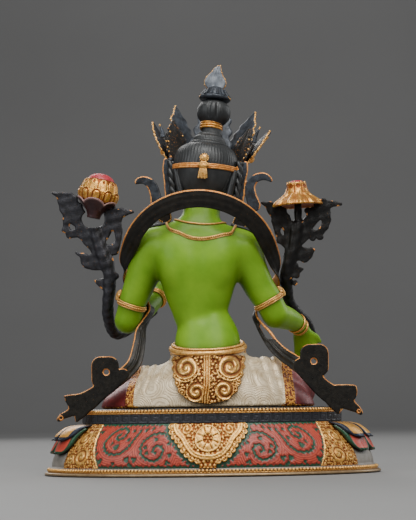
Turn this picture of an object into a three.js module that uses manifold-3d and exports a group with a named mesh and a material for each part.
// Seated Green Tara, cast metal, on an elliptical lotus plinth.
// Millimetres, +Z up, the figure faces -Y, her left side is +X. The origin is the middle of the underside.
import * as THREE from "three";
import Module from "manifold-3d";

const wasm = await Module();
wasm.setup();

// Plinth, from the floor up
const RIM_HALF_WIDTH = 139;
const RIM_HALF_DEPTH = 92;
const RIM_HEIGHT = 3;
const RIM_LEDGE = 6;
const LOWER_BEAD_HEIGHT = 4;
const PANEL_HEIGHT = 35;
const BAND_HEIGHT = 8;
const BAND_HALF_WIDTH = 107;
const BAND_HALF_DEPTH = 74;
const UPPER_BEAD_HEIGHT = 4;
const SEAT_INSET = 6;
const SEAT = RIM_HEIGHT + LOWER_BEAD_HEIGHT + PANEL_HEIGHT + BAND_HEIGHT + UPPER_BEAD_HEIGHT;

// Petals run round the front and the ends, and the relief panel fills the back between them
const PANEL_START = THREE.MathUtils.degToRad(29);
const PANEL_END = Math.PI - PANEL_START;
const PETALS = 15;
const PETAL_SAMPLES = 4;
const PETAL_RELIEF = 12;
const MEDALLION_RELIEF = 2;
const FOOT_LOTUS_RADIUS = 14;
const FOOT_LOTUS_HEIGHT = 11;

// Figure: its pose and carving are shares of the height from the seat to the finial tip. Their numbers
// are written for a figure of the pose height
const FIGURE_HEIGHT = 289;
const POSE_HEIGHT = 289;
const share = FIGURE_HEIGHT / POSE_HEIGHT;
const GAP = 0.3;
const HEAD_LEAN = THREE.MathUtils.degToRad(6);
const HEAD_NOD = THREE.MathUtils.degToRad(5);
const SCARF_THICKNESS = 2.6;
const CROWN_THICKNESS = 2.2;
const FINIAL_THICKNESS = 4;
const STEM_RADIUS = 5.4;
const POST_RADIUS = 3.2;
const LEAF_THICKNESS = 3.6;
const TAIL_THICKNESS = 3.4;
const APRON_THICKNESS = 1.6;

// The scarf tails hang just past the edge of the band behind them, and spread with it beyond their bend
const TAIL_BEND = 90;
const TAIL_REACH = 17;
const tailSpread = (BAND_HALF_WIDTH - TAIL_BEND * share) / TAIL_REACH;
// Where the pendent foot rests, just past the plinth's front
const footFront = -BAND_HALF_DEPTH - 28;

const vector = (x, y, z) => new THREE.Vector3(x, y, z);
const UP = vector(0, 0, 1);
const FRONT = vector(0, -1, 0);

// A point of the figure: x and y from its axis, h above the seat
function at(x, y, h) {
  return vector(x * share, y * share, SEAT + h * share);
}

// A point of the head, whose own frame leans and nods about the middle of the skull
const headTurn = new THREE.Euler(HEAD_NOD, -HEAD_LEAN, 0);
function inHead(x, y, z) {
  return vector(x, y, z).applyEuler(headTurn).multiplyScalar(share).add(at(3, -8, 196));
}

// Closed solids from rings of points

function closedSolid(points, faces) {
  const volume = faces.reduce((sum, [a, b, c]) => sum + points[a].dot(points[b].clone().cross(points[c])), 0);
  const turned = volume > 0 ? faces : faces.map(([a, b, c]) => [a, c, b]);
  const vertProperties = new Float32Array(points.flatMap((p) => p.toArray()));
  const triVerts = new Uint32Array(turned.flat());
  return new wasm.Manifold(new wasm.Mesh({ numProp: 3, vertProperties, triVerts }));
}

function bandFaces(faces, first, second, count) {
  for (let i = 0; i < count; i++) {
    const next = (i + 1) % count;
    faces.push([first + i, first + next, second + next], [first + i, second + next, second + i]);
  }
}

// A skin over rings with the same number of points, closed by a fan at each end
function skin(rings) {
  const count = rings[0].length;
  const points = rings.flat();
  const faces = [];
  for (let r = 0; r + 1 < rings.length; r++) bandFaces(faces, r * count, (r + 1) * count, count);
  const ends = [[rings[0], 0, true], [rings.at(-1), (rings.length - 1) * count, false]];
  for (const [ring, start, flip] of ends) {
    const middle = ring.reduce((sum, p) => sum.add(p), vector(0, 0, 0)).divideScalar(count);
    const hub = points.push(middle) - 1;
    for (let i = 0; i < count; i++) {
      const next = (i + 1) % count;
      faces.push(flip ? [hub, start + next, start + i] : [hub, start + i, start + next]);
    }
  }
  return closedSolid(points, faces);
}

// A skin over rings that come back to the first one
function loopSkin(rings) {
  const count = rings[0].length;
  const faces = [];
  rings.forEach((_, r) => bandFaces(faces, r * count, ((r + 1) % rings.length) * count, count));
  return closedSolid(rings.flat(), faces);
}

function ovalRing(middle, side, front, count) {
  return Array.from({ length: count }, (_, i) => {
    const a = ((i + 0.5) / count) * 2 * Math.PI;
    return middle.clone().addScaledVector(side, Math.cos(a)).addScaledVector(front, Math.sin(a));
  });
}

// A limb through stops [x, y, h, half width, half depth], smooth between them. Bands [from, to, out] are
// rings cast on it, such as bracelets, over shares of its length
function limb(stops, sides, steps, facing, { extra = 0, place = at, bands = [] } = {}) {
  const path = new THREE.CatmullRomCurve3(stops.map(([x, y, h]) => place(x, y, h)), false, "centripetal");
  const sizes = new THREE.CatmullRomCurve3(stops.map((s) => vector(s[3], s[4], 0)), false, "centripetal");
  let stations = Array.from({ length: steps + 1 }, (_, i) => ({ t: i / steps, out: 0 }));
  for (const [from, to, out] of bands) {
    stations = stations.filter(({ t }) => t < from - 0.02 || t > to + 0.02);
    stations.push({ t: from, out: 0 }, { t: from, out }, { t: to, out }, { t: to, out: 0 });
  }
  stations.sort((a, b) => a.t - b.t);
  return skin(stations.map(({ t, out }) => {
    const along = path.getTangent(t);
    const side = along.clone().cross(facing).normalize();
    const front = side.clone().cross(along);
    const size = sizes.getPoint(t);
    side.multiplyScalar((size.x + out) * share + extra);
    front.multiplyScalar((size.y + out) * share + extra);
    return ovalRing(path.getPoint(t), side, front, sides);
  }));
}

// A body turned about an upright axis: a profile of [radius, height], with lobes round it if asked
function turned(profile, count, place, lobes = 0, lobeDepth = 0) {
  return skin(profile.map(([radius, z]) => Array.from({ length: count }, (_, i) => {
    const a = (i / count) * 2 * Math.PI;
    const r = radius * (1 - lobeDepth * Math.abs(Math.sin((lobes * a) / 2)));
    return place(r * Math.cos(a), r * Math.sin(a), z);
  })));
}

// A ring with an oval section, such as a bracelet: side and front are the half axes of its path
function hoop(middle, side, front, halfThick, halfTall, count = 12, sides = 3) {
  const normal = side.clone().cross(front).normalize();
  const rings = [];
  for (let i = 0; i < count; i++) {
    const a = (i / count) * 2 * Math.PI;
    const spoke = side.clone().multiplyScalar(Math.cos(a)).addScaledVector(front, Math.sin(a));
    const out = spoke.clone().normalize().multiplyScalar(halfThick);
    rings.push(ovalRing(middle.clone().add(spoke), out, normal.clone().multiplyScalar(halfTall), sides));
  }
  return loopSkin(rings);
}

function oval(middle, halfX, halfY, halfZ, columns = 8, rows = 4) {
  const profile = [];
  for (let r = 0; r <= rows; r++) {
    const a = ((r + 0.35) / (rows + 0.7)) * Math.PI;
    profile.push([Math.sin(a), -Math.cos(a)]);
  }
  return turned(profile, columns, (x, y, z) => vector(x * halfX, y * halfY, z * halfZ).add(middle));
}

// A leaf or tongue about a midline of stops [u, v, half width]: its outline
function tongue(stops, steps) {
  const path = new THREE.CatmullRomCurve3(stops.map(([u, v]) => vector(u, v, 0)), false, "centripetal");
  const sizes = new THREE.CatmullRomCurve3(stops.map((s) => vector(s[2], 0, 0)), false, "centripetal");
  const right = [];
  const left = [];
  for (let i = 0; i <= steps; i++) {
    const middle = path.getPoint(i / steps);
    const along = path.getTangent(i / steps);
    const half = sizes.getPoint(i / steps).x;
    right.push([middle.x + along.y * half, middle.y - along.x * half]);
    left.unshift([middle.x - along.y * half, middle.y + along.x * half]);
  }
  return [...right, ...left];
}

// A flat cast piece from an outline of [u, v], laid in space by place(u, v, w)
function plate(outline, thickness, place) {
  let loop = outline.map(([u, v]) => new THREE.Vector2(u, v));
  if (THREE.ShapeUtils.isClockWise(loop)) loop = loop.reverse();
  const count = loop.length;
  const half = thickness / 2;
  const points = [...loop.map((p) => place(p.x, p.y, -half)), ...loop.map((p) => place(p.x, p.y, half))];
  const faces = [];
  for (const [a, b, c] of THREE.ShapeUtils.triangulateShape(loop, [])) {
    faces.push([c, b, a], [a + count, b + count, c + count]);
  }
  bandFaces(faces, 0, count, count);
  return closedSolid(points, faces);
}

// The union's outer body: a void that the joined pieces close in is filled
function join(parts) {
  return outerBody(parts.reduce((sum, part) => sum.add(part)));
}

function outerBody(solid) {
  return solid.decompose().sort((a, b) => b.volume() - a.volume())[0];
}

function mesh(name, solid, colour, roughness, metalness) {
  const made = solid.getMesh();
  const corners = new Float32Array(made.triVerts.length * 3);
  made.triVerts.forEach((v, i) => {
    for (let k = 0; k < 3; k++) corners[3 * i + k] = made.vertProperties[made.numProp * v + k];
  });
  const geometry = new THREE.BufferGeometry();
  geometry.setAttribute("position", new THREE.BufferAttribute(corners, 3));
  geometry.computeVertexNormals();
  const material = new THREE.MeshStandardMaterial({ color: colour, roughness, metalness });
  const node = new THREE.Mesh(geometry, material);
  node.name = name;
  return node;
}

// Plinth

const panelBottom = RIM_HEIGHT + LOWER_BEAD_HEIGHT;
const panelInset = {
  x: RIM_HALF_WIDTH - RIM_LEDGE - BAND_HALF_WIDTH,
  y: RIM_HALF_DEPTH - RIM_LEDGE - BAND_HALF_DEPTH,
};

// The panel flares from the band down to the foot: f is 0 at the foot and 1 at the band
function panelPoint(angle, f, out) {
  const flare = Math.cos((f * Math.PI) / 2);
  const halfWidth = BAND_HALF_WIDTH + panelInset.x * flare + out;
  const halfDepth = BAND_HALF_DEPTH + panelInset.y * flare + out;
  return vector(halfWidth * Math.cos(angle), halfDepth * Math.sin(angle), panelBottom + PANEL_HEIGHT * f);
}

// Angles round the plinth: even steps of length for the petals, then the back panel
function plinthAngles() {
  const fine = 720;
  const start = PANEL_END - 2 * Math.PI;
  const sweep = PANEL_START - start;
  const lengths = [0];
  for (let i = 1; i <= fine; i++) {
    const a = start + ((i - 0.5) / fine) * sweep;
    lengths.push(lengths.at(-1) + Math.hypot(RIM_HALF_WIDTH * Math.sin(a), RIM_HALF_DEPTH * Math.cos(a)));
  }
  const angles = [];
  const count = PETALS * PETAL_SAMPLES;
  for (let i = 0, k = 0; i <= count; i++) {
    while (k < fine && lengths[k] < (i / count) * lengths[fine]) k++;
    angles.push({ angle: start + (k / fine) * sweep, across: ((i % PETAL_SAMPLES) / PETAL_SAMPLES) * 2 - 1 });
  }
  const backSteps = 9;
  for (let i = 1; i < backSteps; i++) {
    angles.push({ angle: PANEL_START + (i / backSteps) * (PANEL_END - PANEL_START), across: null });
  }
  return angles;
}

// How far a petal stands out: it hangs from the band and its rounded tip ends half way down the panel
function petalRelief(across, f) {
  if (across === null || f <= 0) return 0;
  const foot = 3.5 * Math.sin(Math.min(1, f / 0.45) * Math.PI * 0.5);
  if (f < 0.44 || f >= 1) return f >= 1 ? 0 : foot;
  const down = (1 - f) / 0.56;
  const spread = down < 0.45 ? 1 : Math.sqrt(Math.max(0, 1 - ((down - 0.45) / 0.6) ** 2));
  const edge = Math.min(1, Math.abs(across) / Math.max(spread, 0.01));
  const swell = Math.sin(Math.min(1, down / 0.35) * Math.PI * 0.5);
  const rise = swell * (1 - 0.6 * Math.max(0, (down - 0.4) / 0.6));
  return Math.max(PETAL_RELIEF * rise * (0.35 + 0.65 * Math.sqrt(1 - edge * edge)), foot);
}

// With extra, the same body grown all round, to keep its neighbours clear of it
function plinthBody(extra = 0) {
  const angles = plinthAngles();
  const level = (z, halfWidth, halfDepth) => angles.map(({ angle }) => {
    return vector((halfWidth + extra) * Math.cos(angle), (halfDepth + extra) * Math.sin(angle), z);
  });
  const inset = (z, by) => level(z, RIM_HALF_WIDTH - by, RIM_HALF_DEPTH - by);
  const rings = [inset(0, 0), inset(RIM_HEIGHT, 0), inset(RIM_HEIGHT, RIM_LEDGE / 2)];
  rings.push(inset(panelBottom, RIM_LEDGE));
  for (const f of [0.43, 0.47, 0.7, 1]) {
    rings.push(angles.map(({ angle, across }) => panelPoint(angle, f, petalRelief(across, f) + extra)));
  }
  const bandTop = panelBottom + PANEL_HEIGHT + BAND_HEIGHT;
  rings.push(level(bandTop, BAND_HALF_WIDTH, BAND_HALF_DEPTH));
  const bead = UPPER_BEAD_HEIGHT / 2;
  rings.push(level(bandTop + bead, BAND_HALF_WIDTH, BAND_HALF_DEPTH));
  rings.push(level(SEAT + extra, BAND_HALF_WIDTH - SEAT_INSET, BAND_HALF_DEPTH - SEAT_INSET));
  return skin(rings);
}

// A raised plate on the back panel: rows of [f, first angle, last angle] from the top down
function panelPlate(rows, relief, columns) {
  const buried = 4;
  return skin(rows.map(([f, first, last]) => {
    const outer = [];
    const inner = [];
    for (let i = 0; i <= columns; i++) {
      const a = first + ((last - first) * i) / columns;
      outer.push(panelPoint(a, f, relief));
      inner.unshift(panelPoint(a, f, -buried));
    }
    return [...outer, ...inner];
  }));
}

function medallion() {
  const back = Math.PI / 2;
  const rows = [];
  for (let i = 0; i <= 5; i++) {
    const down = i / 5;
    const half = 0.37 * (1 - down ** 1.6) + 0.07 + 0.02 * Math.cos(down * 18);
    rows.push([0.97 - 0.9 * down, back - half, back + half]);
  }
  const rosette = panelPoint(back, 0.62, 0);
  return [panelPlate(rows, MEDALLION_RELIEF, 4), oval(rosette, 11, 4, 11, 8, 3)];
}

function endPanel(sign) {
  const fromCentre = (angle) => Math.PI / 2 + sign * angle;
  const rows = [[0.97, 0.92, 1.0], [0.7, 0.86, 1.02], [0.45, 0.8, 1.06], [0.2, 0.78, 1.08],
    [0.04, 0.78, 1.09]];
  return panelPlate(rows.map(([f, a, b]) => [f, fromCentre(a), fromCentre(b)]), MEDALLION_RELIEF, 3);
}

// The small lotus under the pendent foot grows out of the plinth's front. Its top is below the seat's level
const FOOT_LEVEL = -21.5;
const footX = -47;
function footLotus() {
  const bottom = SEAT + FOOT_LEVEL * share - FOOT_LOTUS_HEIGHT;
  const place = (x, y, z) => vector(x + footX * share, y + footFront, bottom + z);
  const r = FOOT_LOTUS_RADIUS;
  const h = FOOT_LOTUS_HEIGHT;
  const pad = turned([[0.3 * r, -3], [0.55 * r, 0], [0.95 * r, 0.45 * h], [r, 0.75 * h],
    [0.8 * r, h]], 12, place);
  const root = place(0, 0, 2);
  const behind = panelPoint(Math.atan2(-0.93, -0.36), 0.3, -8);
  const stalk = [root, behind].map((p) => ovalRing(p, vector(6, 0, 0), vector(0, 0, 5), 8));
  return [pad, skin(stalk)];
}

function plinth() {
  return join([plinthBody(), ...medallion(), endPanel(1), endPanel(-1), ...footLotus()]);
}

// Figure

function torso(extra) {
  const stops = [
    [1.5, 13, 30, 31, 24], [2, 12, 43, 31.5, 24], [2, 11, 50, 30.5, 22], [2.5, 10, 57, 27.5, 20],
    [3.8, 9, 65, 23.8, 18.5], [6, 8, 72, 21.6, 17.5], [8.2, 8, 79, 22.2, 17.5], [8.6, 8, 91, 26.4, 19.5],
    [9, 8, 103, 30.3, 21], [9, 8, 114, 33, 22], [9, 7, 126, 36, 20.5], [9.2, 6, 138, 30, 17],
    [8.6, 4, 150, 22, 14], [6.8, 1, 158, 15, 13.5], [5.2, -3, 172, 14.4, 14],
  ];
  const bands = [[0.075, 0.125, 2.4], [0.9, 0.92, 1.6]];
  const yoke = [
    [52, 3, 128, 11, 11], [46, 4, 134.5, 14.6, 14.4], [31, 5, 139.5, 14.8, 14.6], [9.5, 5, 141, 16.5, 15],
    [-10, 5, 139, 15, 14.6], [-26, 4.5, 132, 14.8, 14.4], [-33, 3, 125, 11, 11],
  ];
  const size = 12 * share + extra;
  const breast = (x) => oval(at(x, -11, 110), size, size - share, size, 7, 3);
  const body = limb(stops, 12, 11, FRONT, { extra, bands });
  return [body, limb(yoke, 8, 6, FRONT, { extra }), breast(-7), breast(25)];
}

function head(extra) {
  const face = [
    [0, -13, -27, 7, 6], [0, -11, -25, 12, 10.5], [0, -7, -19, 17.5, 16.5], [0, -3, -10, 21.3, 22.5],
    [0, -1, 0, 23.4, 25], [0, 0, 10, 23.6, 25.5], [0, 1, 20, 19.5, 21],
  ];
  const hair = [
    [0, 10, -20, 15, 10], [0, 8, -14, 21, 16], [0, 6, -4, 25.6, 22.5], [0, 5, 6, 27.2, 25],
    [0, 4, 15, 26.6, 25.4], [0, 3, 22, 22.5, 22.5], [0, 3, 27, 15, 16], [0, 3, 31, 11.5, 11.5],
    [0, 2, 37, 9.5, 9.5],
  ];
  const placed = { extra, place: inHead };
  const nose = [[0, -24.5, 4, 1.6, 1.6], [0, -28, -5, 2.6, 3], [0, -26, -8, 3.6, 2.4]];
  const lips = oval(inHead(0, -23.5, -14), 5.6 * share, 3.4 * share, 2.4 * share, 6, 2);
  const chin = oval(inHead(0, -18.5, -23), 5 * share, 4 * share, 3.6 * share, 6, 3);
  const ear = (side) => {
    const stops = [[23, 1, 5, 2, 4], [26, 1, -3, 2.6, 5], [26, 0, -14, 2, 3.4], [30, -1, -27, 1.8, 2.4]];
    return limb(stops.map(([x, ...rest]) => [side * x, ...rest]), 4, 3, FRONT, placed);
  };
  const earring = (side) => {
    const middle = inHead(side * 31.5, -1, -34);
    return oval(middle, 7 * share + extra, 3 * share + extra, 7 * share + extra, 8, 2);
  };
  const parts = [limb(face, 10, 6, FRONT, placed), limb(hair, 11, 6, FRONT, placed)];
  parts.push(limb(nose, 4, 2, FRONT, placed), lips, chin);
  return [...parts, ear(1), ear(-1), earring(1), earring(-1)];
}

// The topknot ends below the finial's rim
const BUN_TOP = 64;
function topknot(extra) {
  const profile = [
    [10, 34], [9.2, 38], [11, 40], [11, 43.5], [9.4, 45], [12.4, 48], [14, 53], [13.4, 58], [10, 62],
    [8.2, BUN_TOP],
  ].map(([r, z]) => [r + extra, z]);
  const rolls = [[13.5, 26], [14.2, 29], [12.6, 31], [12.8, 34], [10, 36]].map(([r, z]) => [r + extra, z]);
  return [turned(profile, 10, inHead), turned(rolls, 10, inHead)];
}

// Arms, from the shoulder to the elbow and from there to the wrist: stops [x, y, h, half width, half depth]
const UPPER_ARMS = {
  left: [
    [46, 4, 134, 14.6, 14.4], [52.5, 2, 120, 14.4, 14.2], [58.5, 0, 104, 13, 13], [65, -2, 88, 11.4, 11.6],
    [69.5, -5, 74, 10.4, 10.4],
  ],
  right: [
    [-28, 4, 131, 14.6, 14.4], [-33.5, 2, 117, 13.9, 13.9], [-40.5, 0, 101, 12.8, 13],
    [-48.5, -1, 88, 12, 12], [-54, -3, 77, 10.8, 10.8],
  ],
};
const FOREARMS = {
  left: [[69.5, -5, 73.5, 10.2, 10.2], [62, -18, 79, 10, 10], [52, -36, 89, 8.2, 8.2],
    [45, -49, 97, 6.4, 6.8]],
  right: [[-54, -3, 76.5, 10.6, 10.6], [-61, -14, 75, 10.2, 10.2], [-70, -29, 71.5, 8.2, 8.2],
    [-75, -38, 67, 6.6, 6.6]],
};
// Hands: a palm and five fingers, each a list of stops
const HANDS = {
  left: [
    [[45, -49, 97, 6, 5.5], [42.5, -54, 104, 8.6, 4.6], [41, -58, 113, 8.4, 4]],
    [[47, -58, 112, 2.2, 2.2], [48.5, -61, 121, 2.1, 2.1], [48, -63, 130, 1.6, 1.6]],
    [[43, -59, 113, 2.3, 2.3], [44, -62.5, 124, 2.2, 2.2], [43.6, -64, 134, 1.6, 1.6]],
    [[38.5, -59, 113, 2.3, 2.3], [38.5, -65, 122, 2.2, 2.2], [38.4, -71, 126, 1.6, 1.6]],
    [[35, -57.5, 112, 2.3, 2.3], [33.5, -65, 118, 2.2, 2.2], [34, -72, 116, 1.7, 1.7]],
    [[37.5, -54, 103, 2.6, 2.6], [33, -61, 107, 2.5, 2.5], [33.5, -69, 112, 1.8, 1.8]],
  ],
  right: [
    [[-75, -38, 67, 6, 5.5], [-77, -42, 60, 9.6, 4.6], [-79, -45, 51, 10.6, 4]],
    [[-71, -45.5, 51, 2.4, 2.4], [-70.5, -47, 43, 2.3, 2.3], [-71, -48, 35, 1.6, 1.6]],
    [[-76, -46, 51, 2.5, 2.4], [-75.5, -48, 41, 2.4, 2.3], [-76, -49, 31, 1.7, 1.7]],
    [[-81.5, -46, 51, 2.5, 2.4], [-81.5, -48.5, 41, 2.4, 2.3], [-81.5, -50, 31, 1.7, 1.7]],
    [[-87, -45.5, 51, 2.5, 2.4], [-87.5, -48, 43, 2.4, 2.3], [-87.5, -49.5, 34, 1.7, 1.7]],
    [[-81, -40, 62, 3, 2.8], [-88, -43.5, 60, 3, 2.8], [-94, -47, 53, 2, 2]],
  ],
};

// Armlets and wrist rings, as bands on the limbs: [from, to, out]
const ARMLETS = { left: [[0.62, 0.72, 1.8]], right: [[0.6, 0.71, 1.8]] };
const WRIST_RINGS = { left: [[0.86, 0.95, 1.6]], right: [[0.84, 0.94, 1.8]] };

function arms(extra) {
  const parts = [];
  for (const side of ["left", "right"]) {
    parts.push(limb(UPPER_ARMS[side], 8, 5, FRONT, { extra, bands: ARMLETS[side] }));
    parts.push(limb(FOREARMS[side], 8, 3, UP, { extra, bands: WRIST_RINGS[side] }));
    HANDS[side].forEach((stops, i) => parts.push(limb(stops, i ? 4 : 6, 2, FRONT, { extra })));
  }
  return parts;
}

function necklace(extra) {
  const thick = 1.6 * share + extra;
  return hoop(at(6.5, 2, 150), vector(23 * share, 0, 0), vector(0, 22 * share, -8 * share), thick, thick, 10);
}

// Trousers spread over the crossed legs as one rounded mass with its folds, and the legs stand out of it
function legs(extra) {
  const cloth = [
    [3, 3, -2, 88, 48], [3, 3, 6, 88, 48], [2.5, 5, 16, 81, 44], [1.5, 8, 26, 69, 38], [1, 11, 34, 56, 31],
    [2, 12, 40, 40, 26],
  ];
  const thighs = [
    [[16, 12, 20, 21, 22], [40, 8, 19, 20, 21], [62, -6, 17, 18, 18], [78, -20, 13, 13.6, 14]],
    [[-12, 12, 20, 21, 22], [-34, 8, 20, 20, 21.4], [-54, -3, 19.5, 19, 21.4], [-72, -21, 14, 13.6, 14]],
  ];
  const foot = footFront / share;
  const shins = [
    [[79, -20, 12.5, 13, 13], [64, -38, 11, 11.5, 11.5], [38, -50, 10, 9.5, 9.5], [14, -54, 9, 7.6, 7.6]],
    [[-73, -22, 13, 13, 13], [-66, -44, 10, 11, 11], [-57, -66, 3, 9, 9], [-50, foot + 14, -9, 6.8, 7]],
  ];
  const feet = [
    [[16, -54, 9, 7, 7], [2, -53, 9, 8.6, 6.4], [-14, -49, 9.6, 8, 4.6], [-22, -46, 10, 6, 3]],
    [
      [-51, foot + 16, -10, 6.6, 7], [-49, foot + 7, -14, 7, 6.5], [-47, foot - 3, -17.6, 8, 3.6],
      [-46, foot - 11, -18.6, 6, 2.4],
    ],
  ];
  const lap = oval(at(4, -30, 6), 62 * share + extra, 26 * share + extra, 12 * share + extra, 8, 2);
  const parts = [limb(cloth, 14, 5, FRONT, { extra }), lap];
  for (const stops of thighs) parts.push(limb(stops, 7, 3, UP, { extra }));
  const bands = [[0.88, 0.95, 1.4]];
  for (const stops of shins) parts.push(limb(stops, 7, 3, UP, { extra, bands }));
  for (const stops of feet) parts.push(limb(stops, 6, 2, UP, { extra }));
  return parts;
}

// The apron lies on the cloth over the hips, with a scalloped edge
function apron(extra) {
  const rows = [[43, 31, 36.5], [34, 32, 40.5], [25, 30, 46], [15, 29, 50], [8, 25, 52.5], [3, 13, 53]];
  const scallop = [0, 1.2, -1.2, 1.2, -1.2, 0];
  return skin(rows.map(([h, half, back], i) => {
    const width = half + scallop[i];
    const spread = [-1, -0.66, -0.33, 0, 0.33, 0.66, 1];
    const reach = (u, lift) => at(2 + u * width, back + lift - 9 * u * u * (half / 31), h);
    return [...spread.map((u) => reach(u, APRON_THICKNESS + extra)), ...spread.map((u) => reach(-u, -8))];
  }));
}

// A block under a level, to trim what must not go below it
const TRIM_DEPTH = 60;
function below(level, x, y, halfX, halfY) {
  const corners = [[-1, -1], [1, -1], [1, 1], [-1, 1]];
  const ring = (z) => corners.map(([u, v]) => vector(x + u * halfX, y + v * halfY, z));
  return skin([ring(level - TRIM_DEPTH), ring(level)]);
}

function figure(extra = 0) {
  const whole = join([
    ...torso(extra), ...head(extra), ...topknot(extra), ...arms(extra), necklace(extra), ...legs(extra),
    apron(extra),
  ]);
  if (extra) return whole;
  const pad = SEAT + FOOT_LEVEL * share + GAP;
  const footTrim = below(pad, footX * share, footFront, FOOT_LOTUS_RADIUS + 6, FOOT_LOTUS_RADIUS + 3);
  return outerBody(whole.subtract(plinthBody(GAP)).subtract(footTrim));
}

// Scarf

// The arc behind the neck: an upright band between two ellipses, angle 0 is her left
function scarfArc(angle) {
  const [c, s] = [Math.cos(angle), Math.sin(angle)];
  const back = 5 + 33 * Math.max(0, s) ** 0.7;
  return { outer: at(7.8 + 66 * c, back, 118 + 59.5 * s), inner: at(8 + 53 * c, back - 2, 118 + 45.5 * s) };
}

// Lower stops: [x, y, h, half width, and the direction of the outer edge]
const SCARF_LOWER = {
  left: [
    [70.5, 1, 122, 6.5, 0.6, -0.75, 0.2], [70.5, -9.5, 112, 6, -0.3, -0.85, 0.4],
    [64, -19, 101, 6, -0.7, -0.3, 0.65], [57.5, -21.5, 92.5, 5.5, -0.3, 0.7, 0.5],
    [50, -16, 84, 5, 0.3, 1, 0],
    [54, -7, 74, 4.4, 0.6, 0.8, 0], [57.5, 0, 66, 4.2, 0.9, 0.4, 0], [58.5, 7, 56.5, 4.8, 1, 0.2, 0],
    [62, 16, 41, 5.6, 1, 0, 0.4], [69, 26, 33, 6, 0.8, 0, 0.8], [77, 34, 27, 6.4, 0.5, 0, 1],
    [84, 38, 20, 6.4, 0.6, 0, 0.8],
  ],
  right: [
    [-54.5, 1, 118, 6.5, -0.6, -0.75, 0.2], [-56, -10, 107, 6, 0.3, -0.85, 0.4],
    [-50.5, -19.5, 97.5, 6, 0.7, -0.3, 0.65], [-43, -18.5, 88.5, 5.5, 0.3, 0.8, 0.4],
    [-37, -8, 77, 5, -0.3, 1, 0],
    [-41, 0, 68, 4, -0.8, 0.6, 0], [-45, 5, 61.5, 4.4, -1, 0.2, 0.2], [-51.3, 11, 51.5, 4.8, -0.8, 0, 0.6],
    [-60, 18, 42.6, 5.2, -0.6, 0, 0.8], [-68.5, 26, 36.5, 5.6, -0.55, 0, 0.85],
    [-77, 33, 30, 6.2, -0.6, 0, 0.8],
    [-85, 38, 23, 6.6, -0.6, 0, 0.8],
  ],
};

function scarfBand() {
  const edges = [];
  const arcSteps = 12;
  for (const stop of [...SCARF_LOWER.left].reverse()) edges.push(scarfEdge(stop));
  for (let i = 0; i <= arcSteps; i++) {
    edges.push(scarfArc(THREE.MathUtils.degToRad(20 + (140 * i) / arcSteps)));
  }
  for (const stop of SCARF_LOWER.right) edges.push(scarfEdge(stop));
  const outer = new THREE.CatmullRomCurve3(edges.map((e) => e.outer), false, "centripetal");
  const inner = new THREE.CatmullRomCurve3(edges.map((e) => e.inner), false, "centripetal");
  const steps = Math.round(1.15 * (edges.length - 1));
  const rings = [];
  for (let i = 0; i <= steps; i++) {
    const [a, b] = [outer.getPoint(i / steps), inner.getPoint(i / steps)];
    const along = outer.getTangent(i / steps);
    const face = along.clone().cross(a.clone().sub(b)).setLength((SCARF_THICKNESS * share) / 2);
    rings.push([a.clone().add(face), a.clone().sub(face), b.clone().sub(face), b.clone().add(face)]);
  }
  return skin(rings);
}

function scarfEdge([x, y, h, half, wx, wy, wz]) {
  const out = vector(wx, wy, wz).setLength(half * share);
  return { outer: at(x, y, h).add(out), inner: at(x, y, h).sub(out) };
}

// A roundel where the scarf turns, then a tail that ends in three points over the plinth's edge: [x, h]
const TAIL = [
  [58, 35], [72, 22], [82, 17], [94, 3], [106, -10.5], [110, -5], [123.5, -9], [120, -2], [115, 1],
  [118.5, 12.5],
  [97, 14.5], [91, 22], [75, 36], [66, 39],
];

// How far back the tails hang, and each roundel's side, middle and the lift of the tail beside it
const TAIL_BACK = 38;
const ROUNDELS = [
  { side: 1, x: 83.5, h: 30.5, lift: 0 },
  { side: -1, x: 84.5, h: 36.5, lift: 4.5 },
];

function scarfTail({ side, x, h, lift }) {
  // The roundel sits by the hip, and the tail beyond it spreads with the plinth's band
  const bend = TAIL_BEND * share;
  const reach = (u) => (u < TAIL_BEND ? u * share : bend + (u - TAIL_BEND) * tailSpread);
  const place = (u, v, w) => vector(side * reach(u), TAIL_BACK * share + w, SEAT + (v + lift) * share);
  const roll = hoop(at(side * x, TAIL_BACK, h), vector(8.4 * share, 0, 0), vector(0, 0, 8.8 * share),
    5.6 * share, 3.4 * share, 10, 4);
  return [plate(TAIL, TAIL_THICKNESS * share, place), roll];
}

function scarf() {
  const whole = join([scarfBand(), ...ROUNDELS.flatMap(scarfTail)]);
  return outerBody(whole.subtract(figure(GAP)).subtract(plinthBody(GAP)));
}

// Crown

// One leaf: half its outline in half widths and heights, mirrored, on a plane that leans outward
const LEAF_OUTLINE = [
  [0.45, 0], [0.9, 0.14], [0.8, 0.26], [1, 0.42], [0.76, 0.52], [0.92, 0.68], [0.5, 0.74], [0.28, 0.87],
  [0, 1],
];

function crownLeaf(angle, height, half, lean, tip) {
  const spoke = vector(Math.sin(angle), -Math.cos(angle), 0);
  const along = vector(Math.cos(angle), Math.sin(angle), 0);
  const rise = spoke.clone().multiplyScalar(Math.sin(lean)).addScaledVector(UP, Math.cos(lean));
  const out = spoke.clone().multiplyScalar(Math.cos(lean)).addScaledVector(UP, -Math.sin(lean));
  const foot = spoke.clone().multiplyScalar(30).add(vector(0, 2.3, 8));
  const place = (u, v, w) => {
    const p = foot.clone().addScaledVector(along, u + tip * (v / height) ** 2);
    p.addScaledVector(rise, v).addScaledVector(out, w);
    return inHead(p.x, p.y, p.z);
  };
  const right = LEAF_OUTLINE.map(([u, v]) => [u * half, v * height]);
  const left = right.slice(0, -1).reverse().map(([u, v]) => [-u, v]);
  return plate([...right, ...left], CROWN_THICKNESS, place);
}

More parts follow.
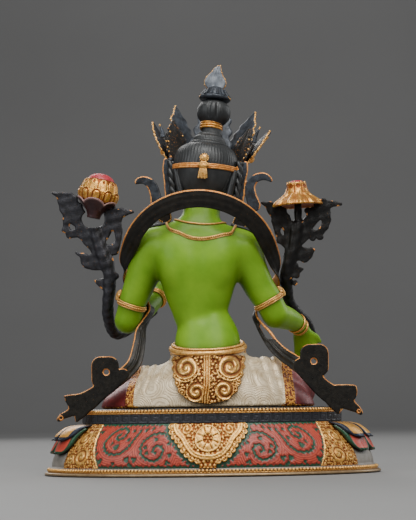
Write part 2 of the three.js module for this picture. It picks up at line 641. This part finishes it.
// Ear plates run down from the crown's ends, and a ribbon waves out from each: [out from the middle, h]
const CROWN_SIDE = [
  [28, 206], [35, 205], [37, 196], [36.5, 187], [41, 192], [47, 194.5], [53, 193], [58, 188.5], [54, 187],
  [49.5, 188.5], [47, 185], [47, 179], [49, 168], [33, 170], [29, 182],
];

function crown() {
  const deg = THREE.MathUtils.degToRad;
  const turn = (v) => v.clone().applyEuler(headTurn).multiplyScalar(share);
  const [side, front] = [turn(vector(30.2, 0, 0)), turn(vector(0, 30, 0))];
  const ring = hoop(inHead(0, 2.3, 8), side, front, 1.4 * share, 3 * share, 14);
  // Angle round the head, height, half width, outward lean, and how far the tip is drawn sideways
  const leaves = [
    [0, 68, 19, 7, 1], [36, 61, 14, 21, 3.5], [-36, 61, 14, 21, -6], [66, 47, 12, 36, -5],
    [-66, 42, 12, 31, -7.5],
  ];
  const knot = oval(inHead(0, 34.2, 7), 5 * share, 2.4 * share, 6 * share, 6, 2);
  const parts = [ring, knot];
  for (const [angle, height, half, lean, tip] of leaves) {
    parts.push(crownLeaf(deg(angle), height, half, deg(lean), tip));
  }
  for (const turnTo of [1, -1]) {
    const place = (u, h, w) => at(3 + turnTo * u, 2, h).add(vector(0, w, 0));
    parts.push(plate(CROWN_SIDE, CROWN_THICKNESS * share, place));
  }
  return join(parts);
}

// Finial: a rimmed cap and a leaf with a curled tip
function finial() {
  const foot = BUN_TOP + GAP;
  const rim = [[8.2, 0], [13, 1], [13.6, 3], [11.4, 4], [8.4, 8], [6.4, 9.5]];
  const cap = turned(rim.map(([r, z]) => [r, foot + z]), 12, inHead);
  const leaf = [
    [5, 0], [8.6, 3], [10.4, 7], [9.2, 11], [7.4, 10], [6.8, 14], [3.6, 17], [1.4, 21], [-1.6, 24.2],
    [-3.6, 25],
    [-3.2, 20.5], [-6.8, 16], [-8, 11.5], [-10.6, 12.5], [-9.6, 6.5], [-8.2, 3], [-5, 0],
  ];
  return join([cap, plate(leaf, FINIAL_THICKNESS, (u, v, w) => inHead(u, w, foot + 8 + v))]);
}

// Lotus stems and flowers

// The post that carries the open flower ends at this height
const POST_TOP = 170.6;
// Trunks: from the hand to the head of the stem, [x, y, h]
const TRUNKS = {
  left: [
    [52, -58, 84], [70, -46, 69], [82, -32, 64], [87, -24, 76], [87, -19, 90], [85, -17, 105],
    [86, -17, 117],
    [91.4, -17, 131], [96.5, -17, 147], [98.5, -17, 158],
  ],
  right: [
    [-84, -60, 62], [-80, -52, 72], [-72, -43, 80], [-65.5, -32, 89], [-64, -24, 100],
    [-63.5, -18, 111], [-67, -17, 124],
    [-71, -17, 137], [-73.5, -17, 152],
  ],
};
// The leaves of a stem are flat tongues cast with it: stops [x, h, half width]
const LEAVES = {
  left: [
    [[92, 131, 6], [100, 146, 8], [108, 158, 7], [117, 169, 9], [122, 177, 6.5], [128, 181.5, 2.5],
    [133, 183.5, 0.8]],
    [[101, 140, 4], [110, 148, 3.4], [118.5, 149, 3], [121.5, 154, 2.6], [121, 161, 3]],
    [[92, 146, 6], [88, 156, 7.5], [81, 162.5, 6], [73, 165.5, 3.5], [65, 166, 1]],
    [[90, 134, 5], [82, 135, 4.5], [78, 141, 2.4], [77.5, 150, 3.6], [80, 158, 5]],
    [[88, 124, 6.5], [97, 124, 6.5], [103, 125, 6], [108, 129.5, 2.5], [113.5, 132.5, 0.8]],
    [[85, 103, 4], [92, 106, 3.6], [97.5, 108.5, 0.8]],
  ],
  right: [
    [[-68, 138, 6], [-66, 150, 4.5], [-61.5, 158.5, 6], [-55, 165, 6], [-50, 169, 3], [-44, 172.3, 0.8]],
    [[-67, 136, 5], [-60, 141, 3], [-57.3, 147, 2.4], [-56.5, 154, 4], [-58, 161, 5]],
    [[-74, 142, 6], [-81, 151, 5], [-88, 160, 6], [-93.5, 166.5, 6], [-101, 169.5, 3.4],
    [-112, 169.5, 0.8]],
    [[-75, 139, 4], [-84, 145, 3], [-91, 145, 3], [-96.5, 151, 3], [-98, 158, 4], [-95, 164, 4]],
    [[-68, 128, 6], [-75, 128.5, 6], [-80, 128, 5.5], [-87.5, 131.5, 0.8]],
    [[-65, 111.5, 5], [-72, 114, 3.6], [-77.5, 115.5, 0.8]],
  ],
};
const HEADS = { left: [98.5, -17, 161], right: [-74.5, -17, 154] };

function stem(side) {
  const stops = TRUNKS[side].map((stop) => [...stop, STEM_RADIUS, STEM_RADIUS]);
  const rod = limb(stops, 6, 8, vector(0.3, -0.6, 1));
  const place = (x, h, w) => at(x, -17, h).add(vector(0, w, 0));
  const thick = LEAF_THICKNESS * share;
  const leaves = LEAVES[side].map((stops) => plate(tongue(stops, stops.length), thick, place));
  const [x, y, h] = HEADS[side];
  const block = skin([h, h + 12].map((z) => ovalRing(at(x, y, z), vector(9, 0, 0), vector(0, 9, 0), 4)));
  const trimmed = join([rod, ...leaves]).subtract(block);
  if (side === "left") return outerBody(trimmed.subtract(figure(GAP)));
  const post = turned([[POST_RADIUS, h - 6],
    [POST_RADIUS, POST_TOP]], 8, (px, py, pz) => at(x + px, y + py, pz));
  return outerBody(trimmed.add(post).subtract(figure(GAP)));
}

// A flower stands a hair above what carries it, on an axis that leans a little
function flower(side, foot, lean, profile, lobes, lobeDepth) {
  const [x, y] = HEADS[side];
  const turn = new THREE.Euler(0, lean, 0);
  const base = at(x, y, foot).add(vector(0, 0, GAP));
  const place = (px, py, pz) => {
    const p = vector(px, py, pz).multiplyScalar(share);
    return pz <= 0 ? p.add(base) : p.applyEuler(turn).add(base);
  };
  return turned(profile, 12, place, lobes, lobeDepth);
}

function flowers() {
  const deg = THREE.MathUtils.degToRad;
  const bud = [
    [5.2, 0], [6, 4], [9, 8.5], [13.4, 11], [12.6, 13], [16.6, 20], [15.8, 26], [12.6, 31.5],
    [7.6, 36.4], [2.6, 38.6],
  ];
  const open = [
    [3.6, 0], [12, 2.6], [20.8, 4], [14.5, 7.5], [10.4, 10], [8.8, 15], [7.8, 19], [7, 21.5], [2, 22.4],
  ];
  return [
    mesh("lotus_flower_left", flower("left", HEADS.left[2], deg(-12.5), bud, 6, 0.06), 0xd9a04a, 0.35, 0.9),
    mesh("lotus_flower_right", flower("right", POST_TOP, deg(3), open, 6, 0.08), 0xd9a04a, 0.35, 0.9),
  ];
}

const tara = new THREE.Group();
tara.add(
  mesh("plinth", plinth(), 0x8c6a45, 0.5, 0.5),
  mesh("figure", figure(), 0x6b9a2b, 0.35, 0.2),
  mesh("scarf", scarf(), 0x1e1a15, 0.45, 0.4),
  mesh("crown", crown(), 0x3b3f45, 0.5, 0.5),
  mesh("topknot_finial", finial(), 0x3b3f45, 0.5, 0.5),
  mesh("lotus_stem_left", stem("left"), 0x26272b, 0.5, 0.4),
  mesh("lotus_stem_right", stem("right"), 0x26272b, 0.5, 0.4),
  ...flowers(),
);

export default tara;
